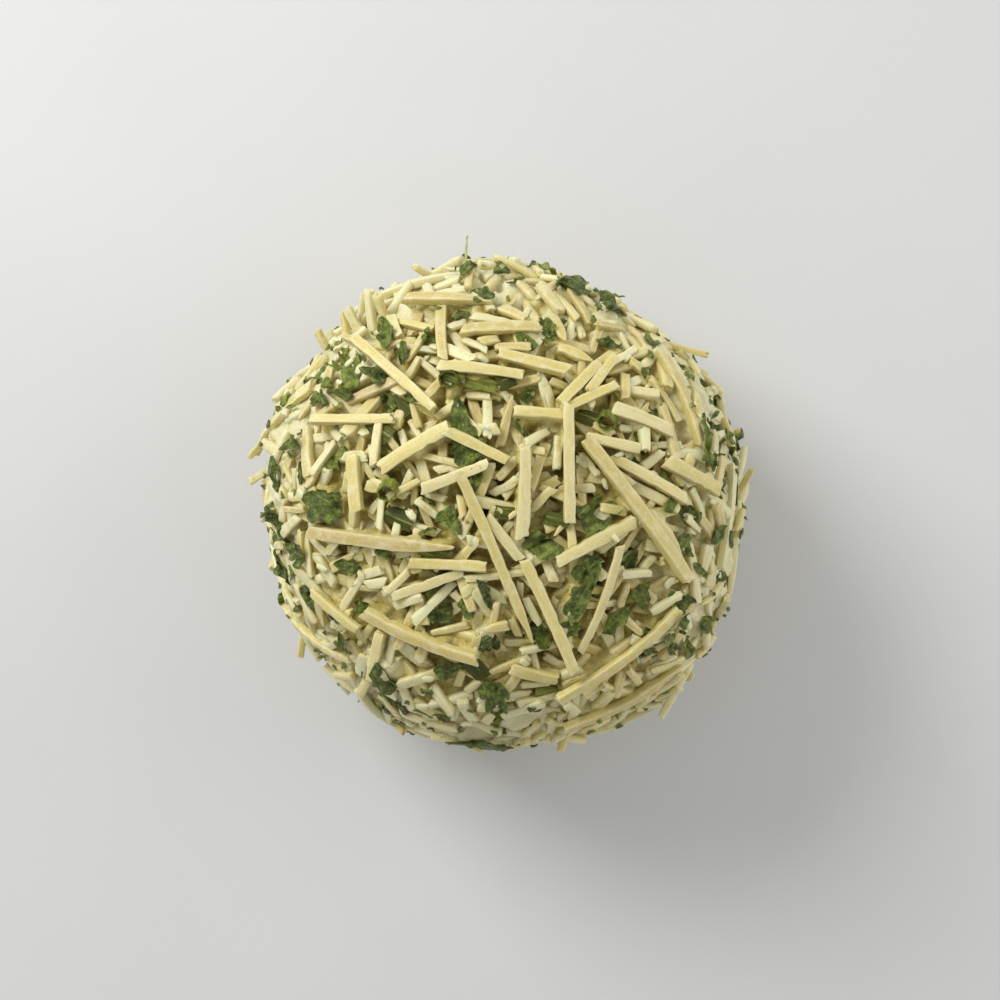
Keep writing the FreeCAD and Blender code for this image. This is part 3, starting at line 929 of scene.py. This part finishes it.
# How golden the crown's shreds are that stand out from the rest by their colour, by their numbers.
CROWN_GOLD = {
    1: 0.42, 2: 0.50, 3: 0.62, 5: 0.10, 6: 0.12, 8: 0.10, 11: 0.92, 12: 0.30, 13: 0.75, 14: 0.60,
    15: 0.80, 22: 0.10, 24: 0.12, 25: 0.15, 26: 0.35, 27: 0.70, 29: 0.75, 34: 0.62, 36: 0.30,
}


def lay_long_shreds(pile):
    """Lays a shred where each long shred of the solids lies, and returns their names."""
    names = []
    for layer, name, lie, length, width, ends in long_shred_places():
        crown = name.startswith("crown")
        usual_gold = random.normal(0.32, 0.16)
        gold = CROWN_GOLD.get(int(name[-2:]), usual_gold) if crown else usual_gold
        width = width * draw(0.78, 0.88)
        thick = SHRED_THICK * draw(0.85, 1.05)
        tone = shred_tone(gold, random.normal(0.10, 0.10) if crown else random.normal(0.62, 0.12))
        lift = (0.42 if crown else 0.2) / BALL_WIDTH
        rest = lie.rest(length, width, lift) or (layer - thick, 0.0)
        ceiling = HIGHEST + 0.3 if crown else 0.75
        height = min(rest[0] - (0.3 if crown else 1.0), ceiling - thick)
        slope = float(np.clip(rest[1], -0.1, 0.1))
        add_shred(pile, lie, length, width, thick, (height, slope), lift, tone, 0.0, ends)
        raise_relief(lie, length, width, lambda s: height + slope * s + lift * s * s + thick)
        names.append(name)
    return names


# Shreds that stand out of the coat at its edge: where each is rooted (azimuth, angle down from the
# crown), the way it points in plan, how steeply it rises, its length and width and how golden it is.
STRAYS = [
    (125, 68, 95, 5, 7.5, 1.7, 0.10), (127, 74, 82, 12, 6.5, 1.9, 0.05),
    (122, 66, 108, 20, 6.0, 1.6, 0.20), (129, 70, 120, 0, 6.0, 1.8, 0.15),
    (132, 72, 98, 10, 6.0, 1.6, 0.30), (138, 76, 120, 5, 5.5, 1.7, 0.45),
    (317, 80, 240, 10, 11.0, 1.8, 0.62), (42, 80, 345, 5, 7.5, 1.2, 0.72),
    (173, 82, 215, 10, 4.2, 1.9, 0.35), (165, 80, 225, 5, 6.0, 2.0, 0.55),
    (212, 84, 262, -5, 7.0, 1.5, 0.50), (108, 78, 150, 15, 5.0, 1.7, 0.10),
    (285, 80, 250, 10, 5.0, 1.6, 0.20), (5, 84, 60, 5, 5.5, 1.5, 0.60),
]


def lay_strays(pile):
    """Shreds that stand out of the coat, one for each row of the table."""
    for *root, length, width, gold in STRAYS:
        lie = Standing(*root, length, rooted=2.2)
        thick = SHRED_THICK * draw(0.75, 0.95)
        tone = shred_tone(gold, random.normal(0.3, 0.15))
        add_shred(pile, lie, length, width, thick, (-thick / 2, 0.0), 0.0, tone, 0.2)


def add_stem(pile, azimuth, down, heading, length, radius, tone):
    """A thin green stem rooted in the coat, bending up as it goes."""
    lie = Standing(azimuth, down, heading, rise=12, length=length, rooted=1.5)
    rings, around = 9, 6
    turn = np.arange(around) / around * 2 * math.pi
    s = np.linspace(-0.5, 0.5, rings) * length
    bend = 0.05 * (s + length / 2) ** 2
    thin = radius * np.linspace(1.0, 0.6, rings)
    thin, bend = thin[:, None], bend[:, None]
    s_all = np.append(np.repeat(s, around), s[[0, -1]])
    y_all = np.append(thin * np.cos(turn) + 0.4 * bend, 0.4 * bend[[0, -1]])
    z_all = np.append(thin * np.sin(turn) - bend, -bend[[0, -1]])
    quads, fans = tube_faces(rings, around)
    pile.add(lie.place(s_all, y_all, z_all), quads, fans, tone, np.stack([s_all, y_all], -1))


def leaf_tone(dark=None, yellow=None):
    """Colour value of a herb: how dark and how yellow it is, drawn at random where not given."""
    dark = draw(0.1, 1.0) if dark is None else dark
    yellow = draw(0, 0.85) if yellow is None else yellow
    return np.array([dark, yellow, 0.0, draw()])


def scatter_leaves(pile, count, low, high, sizes, lift, curl, detail=(20, 4)):
    """Pieces of leaf of every form between two angles down from the crown."""
    for direction in spread(count, low, high):
        lie = Lie(direction, heading=draw(0, 360))
        length = random.triangular(sizes[0], sizes[0], sizes[1])
        form = random.choice(["lobed", "triangle", "oval", "torn", "lobed"])
        narrow, tone = draw(0.4, 0.9), leaf_tone()
        bent, fold = draw(-0.1, curl), draw(-0.1, 0.4)
        add_leaf(pile, lie, length, narrow, tone, form, bent, lift, fold, random.integers(0, 3), detail)


def scatter_chives(pile, count, low, high, strips=False):
    """Tubes and strips of chive, or strips alone, between two angles down from the crown."""
    for direction in spread(count, low, high):
        lie = Lie(direction, heading=draw(0, 360))
        tube = draw() < 0.55 and not strips
        arc = 360.0 if tube else draw(70, 150)
        radius = draw(1.1, 1.7)
        length = draw(2.4, 5.0)
        add_chive(pile, lie, length, radius, leaf_tone(), arc, draw(0.45, 0.85))


# The herbs that show most on the crown and the shoulders: what each is, where it lies (azimuth, angle
# down from the crown), which way it runs in plan, its length, how narrow and how dark it is.
SHOWN_HERBS = [
    ("lobed", 143, 67, 205, 8.5, 0.9, 0.45), ("lobed", 137, 56, 294, 10.0, 0.75, 0.35),
    ("torn", 124, 55, 287, 9.0, 0.35, 0.5), ("oval", 123, 48, 277, 4.6, 0.6, 0.75),
    ("oval", 95, 57, 293, 5.6, 0.85, 0.9), ("torn", 103, 53, 18, 4.4, 0.6, 0.7),
    ("lobed", 73, 67, 311, 9.0, 0.85, 0.9), ("lobed", 62, 67, 25, 8.0, 0.8, 0.85),
    ("torn", 76, 49, 266, 4.4, 0.55, 0.6), ("oval", 82, 44, 323, 4.6, 0.65, 0.5),
    ("triangle", 114, 49, 320, 4.4, 0.8, 0.85), ("oval", 57, 54, 342, 5.2, 0.5, 0.9),
    ("strip", 100, 33, 347, 5.4, 0.5, 0.35), ("tube", 110, 36, 337, 3.2, 0.9, 0.6),
    ("ring", 112, 37, 260, 2.6, 0.9, 0.7), ("tube", 89, 33, 32, 3.0, 0.9, 1.0),
    ("torn", 119, 22, 278, 13.5, 0.34, 0.65), ("lobed", 118, 17, 250, 7.5, 0.6, 0.75),
    ("triangle", 77, 22, 300, 6.6, 0.42, 0.5), ("triangle", 77, 31, 50, 5.0, 0.9, 0.45),
    ("lobed", 356, 25, 33, 10.5, 0.7, 0.55), ("lobed", 314, 14, 34, 7.8, 0.85, 0.55),
    ("triangle", 193, 15, 310, 9.0, 0.6, 0.6), ("torn", 172, 22, 22, 5.0, 0.7, 0.7),
    ("oval", 135, 10, 270, 5.2, 0.7, 0.65), ("strip", 186, 28, 337, 5.4, 0.7, 0.95),
    ("ring", 172, 30, 250, 3.0, 0.9, 0.3), ("torn", 158, 34, 24, 6.0, 0.6, 0.0),
    ("strip", 148, 39, 325, 6.0, 0.8, 0.85), ("strip", 135, 39, 312, 4.6, 0.6, 0.9),
    ("strip", 153, 48, 321, 5.2, 0.8, 0.1), ("lobed", 162, 48, 310, 8.2, 0.7, 0.2),
    ("lobed", 178, 47, 335, 9.0, 0.8, 0.8), ("torn", 163, 60, 329, 5.5, 0.7, 0.85),
    ("torn", 170, 56, 288, 5.0, 0.35, 1.0), ("oval", 188, 65, 318, 7.6, 0.35, 0.6),
    ("lobed", 193, 58, 336, 6.4, 0.8, 0.8), ("torn", 202, 44, 351, 6.6, 0.55, 0.75),
    ("oval", 201, 34, 330, 3.6, 0.6, 0.6), ("oval", 193, 40, 21, 4.4, 0.45, 0.5),
    ("strip", 213, 22, 336, 4.6, 0.7, 0.6), ("torn", 198, 21, 12, 4.0, 0.3, 0.0),
    ("strip", 46, 33, 337, 4.2, 0.7, 0.85), ("ring", 40, 36, 250, 2.4, 0.8, 0.6),
    ("torn", 29, 46, 300, 5.2, 0.5, 0.9), ("oval", 27, 40, 317, 3.0, 0.7, 0.6),
    ("oval", 18, 37, 324, 2.8, 0.7, 0.8), ("triangle", 1, 44, 59, 8.0, 0.5, 0.55),
    ("torn", 10, 43, 303, 3.4, 0.6, 0.75), ("oval", 357, 50, 330, 5.2, 0.9, 0.95),
    ("torn", 347, 49, 37, 6.0, 0.8, 0.7), ("lobed", 334, 37, 47, 7.6, 0.7, 0.85),
    ("triangle", 327, 44, 301, 8.2, 0.75, 0.65), ("oval", 324, 27, 29, 6.6, 0.75, 0.85),
    ("lobed", 310, 31, 60, 12.5, 0.42, 0.6), ("oval", 313, 42, 51, 9.0, 0.4, 0.65),
    ("torn", 298, 36, 32, 4.6, 0.8, 0.9), ("lobed", 286, 34, 298, 8.2, 0.5, 0.7),
    ("torn", 258, 23, 289, 7.0, 0.25, 1.0), ("oval", 241, 33, 16, 6.8, 0.8, 0.95),
    ("strip", 230, 28, 51, 5.4, 0.25, 0.3), ("lobed", 265, 37, 40, 4.8, 0.9, 0.95),
    ("oval", 274, 35, 359, 3.0, 0.4, 0.7), ("torn", 251, 46, 23, 6.6, 0.5, 0.75),
    ("strip", 260, 43, 310, 5.2, 0.7, 1.0), ("lobed", 267, 49, 286, 9.6, 0.6, 0.7),
    ("lobed", 235, 54, 287, 7.0, 0.75, 0.8), ("torn", 216, 47, 304, 4.6, 0.5, 0.7),
    ("torn", 221, 38, 2, 7.4, 0.14, 0.8), ("torn", 221, 57, 261, 6.4, 0.35, 0.75),
    ("oval", 241, 66, 306, 7.6, 0.4, 0.95), ("lobed", 263, 74, 353, 12.5, 0.5, 0.7),
    ("torn", 254, 60, 322, 4.0, 0.6, 0.85), ("strip", 248, 64, 352, 3.4, 0.6, 0.5),
    ("torn", 299, 70, 340, 7.0, 0.35, 0.9), ("torn", 318, 51, 330, 4.8, 0.6, 0.8),
    ("lobed", 315, 54, 319, 4.6, 0.7, 0.95), ("torn", 321, 56, 322, 4.6, 0.6, 0.7),
    ("oval", 320, 61, 321, 5.4, 0.6, 0.85), ("torn", 331, 53, 328, 5.0, 0.8, 0.8),
    ("triangle", 327, 55, 320, 6.4, 0.6, 0.7), ("oval", 342, 56, 323, 4.2, 0.5, 0.6),
    ("torn", 335, 61, 325, 4.6, 0.5, 0.55), ("torn", 19, 56, 267, 9.6, 0.22, 0.45),
    ("torn", 12, 57, 265, 4.6, 0.3, 0.7), ("torn", 15, 67, 271, 5.0, 0.4, 0.8),
    ("oval", 6, 65, 312, 5.2, 0.6, 0.7), ("torn", 21, 71, 275, 5.4, 0.6, 0.7),
    ("torn", 35, 68, 14, 6.0, 0.2, 0.2), ("torn", 11, 74, 262, 7.0, 0.35, 0.8),
    ("torn", 3, 72, 265, 8.0, 0.3, 0.9), ("torn", 27, 64, 255, 5.0, 0.4, 0.85),
    ("oval", 352, 70, 300, 4.6, 0.6, 0.8), ("lobed", 195, 70, 290, 8.0, 0.6, 0.85),
    ("torn", 183, 72, 280, 6.0, 0.5, 0.9), ("torn", 172, 68, 265, 7.0, 0.4, 0.7),
    ("torn", 205, 62, 300, 6.5, 0.6, 0.8), ("torn", 150, 57, 340, 5.2, 0.6, 0.6),
    ("torn", 145, 52, 335, 4.6, 0.6, 0.8), ("lobed", 133, 48, 323, 5.8, 0.7, 0.95),
    ("torn", 138, 42, 315, 5.0, 0.6, 0.9), ("torn", 90, 71, 10, 4.0, 0.5, 0.9),
    ("oval", 87, 66, 334, 3.6, 0.5, 0.7), ("strip", 301, 2, 353, 4.2, 0.6, 0.8),
    ("strip", 347, 15, 346, 4.2, 0.6, 0.85), ("torn", 129, 37, 341, 4.6, 0.5, 0.9),
]


def lay_shown_herbs(leaves, chives, low, high, lift):
    """Lays the herbs of the table whose angle down from the crown is between two."""
    for form, azimuth, down, heading, length, narrow, dark in SHOWN_HERBS:
        if not low <= down < high:
            continue
        lie = Lie(toward(azimuth, down), heading=heading)
        tone = leaf_tone(dark, draw(0, 0.5) if dark > 0.1 else 0.95)
        if form == "ring":
            lie = Standing(azimuth, down, heading, rise=62, length=length, rooted=-0.6)
            add_chive(chives, lie, length, 1.75, tone, 360.0, narrow, (0.0, 0.0))
        elif form == "tube":
            add_chive(chives, lie, length, 1.5, tone, 360.0, 0.55)
        elif form == "strip":
            add_chive(chives, lie, length, np.clip(narrow * length / 2, 1.1, 1.8), tone, 130.0, 0.55)
        else:
            curl, fold = draw(-0.1, 0.7), draw(0.2, 0.95)
            length *= 0.98 if form == "lobed" else 0.88
            chops = random.integers(0, 3)
            add_leaf(leaves, lie, length, narrow, tone, form, curl, lift, fold, chops, (30, 5))


def lay_coat():
    """Builds the coat from the soft cheese outwards."""
    long_shreds, short_shreds, soft_shreds = Pile("long_shreds"), Pile("short_shreds"), Pile("soft_shreds")
    leaves, chives = Pile("parsley_leaves"), Pile("chopped_chives")
    crumbs, flecks = Pile("cheese_crumbs"), Pile("herb_flecks")

    # Pressed into the soft cheese first, all round the ball and under it.
    scatter_shreds(soft_shreds, 430, 48, 180, (4, 13), (0.7, 1.1), (0.3, 0.3),
                   (0.5, 0.2), 0.5, 0.5, 0.6, 1.0)
    scatter_leaves(leaves, 34, 44, 90, (3.0, 6.5), -0.1, 0.1)
    scatter_leaves(leaves, 60, 90, 165, (3.0, 7.0), -0.1, 0.1)
    scatter_shreds(soft_shreds, 460, 46, 150, (3, 12), (0.6, 1.0), (0.3, 0.3),
                   (0.42, 0.2), 0.45, 0.5, 1.0, 1.0)

    # The loose heap on the crown.
    scatter_shreds(short_shreds, 230, 0, 58, (4, 11), (0.8, 1.2), (0.6, 0.3),
                   (0.2, 0.2), 0.5, 0.3, 0.2, 0.9)
    scatter_leaves(leaves, 8, 0, 55, (3.0, 6.0), 0.0, 0.2)
    scatter_bits(crumbs, 140, 0, 60, (0.8, 2.6), 0.8)
    scatter_chives(chives, 8, 0, 55)
    scatter_shreds(short_shreds, 330, 0, 62, (3.5, 12), (0.6, 1.1), (0.42, 0.3),
                   (0.3, 0.2), 0.5, 0.3, 1.7, 0.85)
    lay_shown_herbs(leaves, chives, 0, 54, 0.05)
    names = lay_long_shreds(long_shreds)
    lay_strays(short_shreds)
    fill_hollows(soft_shreds, 190, 0, 60, (3.0, 6.5), 2.6, 1.6)
    add_stem(chives, 99, 72, 92, 7.4, 0.36, leaf_tone(0.0, 0.95))
    scatter_shreds(short_shreds, 70, 0, 60, (2.5, 8), (0.5, 0.9), (0.2, 0.25),
                   (0.3, 0.2), 0.4, 0.15, 2.4, 0.8)

    # The outermost shreds and herbs of the sides, and the small bits that stick on everywhere.
    scatter_shreds(soft_shreds, 240, 58, 150, (2, 9), (0.5, 0.95), (0.25, 0.3),
                   (0.3, 0.2), 0.4, 0.45, 1.4, 1.0)
    scatter_leaves(leaves, 22, 60, 90, (2.5, 6.0), 0.05, 0.3)
    scatter_leaves(leaves, 90, 90, 160, (2.5, 7.5), 0.05, 0.3)
    scatter_chives(chives, 14, 62, 130, strips=True)
    lay_shown_herbs(leaves, chives, 54, 90, 0.15)
    scatter_bits(crumbs, 110, 0, 60, (0.6, 2.0), HIGHEST)
    scatter_bits(crumbs, 90, 0, 62, (1.0, 2.6), HIGHEST - 1.0, dab=True)
    scatter_bits(crumbs, 260, 60, 150, (0.6, 2.0), 1.3)
    scatter_leaves(flecks, 420, 52, 155, (0.9, 3.2), -0.1, 0.1, (9, 2))
    relief.settle()
    return long_shreds, short_shreds, soft_shreds, leaves, chives, crumbs, flecks, names


def soft_cheese(material):
    """The skin of soft cheese: low in the loose heap, and up to the shreds' tops where pressed."""
    pressed = smooth_step(LOOSE_TO - 6, PRESSED_FROM, relief.down)
    bumps = Bumps(13.0).at(relief.point) + 1.1 * creamy(relief.direction) + 0.5 * (1 - pressed)
    patch = smooth_step(0.3, 1.1, bumps)
    sink = 2.0 - 0.9 * pressed - (1.3 - 0.7 * pressed) * patch
    fill = np.minimum(relief.broad - sink, relief.height - 0.40 + (0.15 + 0.30 * pressed) * patch)
    height = np.maximum(relief.core, fill)
    height = relief.smoothed(height, 2)
    height += 0.24 * Bumps(3.0).at(relief.point) + 0.10 * Bumps(1.3).at(relief.point)
    points = relief.point + relief.normal * height[:, None]
    points[:, 2] = np.maximum(points[:, 2], 0.05)
    mesh = bpy.data.meshes.new("soft_cheese")
    mesh.from_pydata((points * MM).tolist(), [], relief.faces.tolist())
    tones = np.zeros((len(points), 4))
    # painted shade: the skin gets darker and more golden where it lies deep in the coat
    tones[:, 2] = 0.9 * relief.sunk(points)
    return finished("soft_cheese", mesh, material, tones)


# ---- Stage ----


def make_stage():
    """A plain pale floor just under the ball, soft light all round and four soft lamps."""
    half = 6 * BALL_WIDTH * MM
    corners = [(x * half, y * half, -0.1 * MM) for x, y in ((-1, -1), (1, -1), (1, 1), (-1, 1))]
    mesh = bpy.data.meshes.new("floor")
    mesh.from_pydata(corners, [], [(0, 1, 2, 3)])
    floor = finished("floor", mesh, floor_material())

    world = bpy.data.worlds.new("studio")
    bpy.context.scene.world = world
    world.use_nodes = True
    background = world.node_tree.nodes["Background"]
    background.inputs["Color"].default_value = (1.0, 1.0, 0.98, 1.0)
    background.inputs["Strength"].default_value = 0.46

    add_light("key", (-0.36, 0.33, 0.44), 0.30, 2.75, (1.0, 1.0, 0.97))
    add_light("fill", (0.48, 0.14, 0.40), 0.4, 0.45, (1.0, 1.0, 0.99))
    add_light("low_right", (0.62, 0.15, 0.10), 0.5, 1.05, (1.0, 0.99, 0.97))
    add_light("low_back", (-0.30, 0.60, 0.10), 0.5, 0.5, (1.0, 0.99, 0.97))


def add_light(name, place, size, power, colour):
    """A soft square lamp aimed at the middle of the ball."""
    data = bpy.data.lights.new(name, "AREA")
    data.size = size
    data.energy = power
    data.color = colour
    lamp = bpy.data.objects.new(name, data)
    lamp.location = place
    aim = Vector((0, 0, BELLY * MM)) - Vector(place)
    lamp.rotation_mode = "QUATERNION"
    lamp.rotation_quaternion = aim.to_track_quat("-Z", "Y")
    bpy.context.collection.objects.link(lamp)


CAMERA_PLACE = (-0.56, 1.13, BELLY + 480.0)
FRAME_WIDTH = 187.5  # what the frame takes in at the height of the belly


def make_camera():
    """Straight down on the crown, with the ball just off the middle of the frame."""
    data = bpy.data.cameras.new("camera")
    data.sensor_width = 36.0
    data.lens = data.sensor_width * (CAMERA_PLACE[2] - BELLY) / FRAME_WIDTH
    data.clip_end = 10.0
    camera = bpy.data.objects.new("camera", data)
    camera.location = [value * MM for value in CAMERA_PLACE]
    bpy.context.collection.objects.link(camera)
    bpy.context.scene.camera = camera


# ---- The whole ----


def main():
    """Makes the pieces, attaches each to the root and prints its triangles, and sets the stage."""
    bpy.context.scene.view_settings.view_transform = "Standard"
    long_shreds, short_shreds, soft_shreds, leaves, chives, crumbs, flecks, names = lay_coat()
    shred_finish, leaf_finish = shred_material(), leaf_material()
    core = soft_cheese(cream_material())
    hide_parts("cheese_ball")
    top = long_shreds.build(shred_finish, 40)
    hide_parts(*names)
    pieces = {
        core: "coated_cheese",
        top: "cheese_shred",
        short_shreds.build(shred_finish, 40): "cheese_shred",
        soft_shreds.build(shred_finish, 60): "cheese_shred",
        crumbs.build(shred_finish, 50): "cheese_shred",
        leaves.build(leaf_finish, 50): "leaf_herb",
        flecks.build(leaf_finish): "leaf_herb",
        chives.build(chive_material(), 50): "stem_herb",
    }
    for piece, slot in pieces.items():
        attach(piece, "root")
        print(piece.name, sum(len(p.vertices) - 2 for p in piece.data.polygons), "triangles")
    make_stage()
    make_camera()


main()
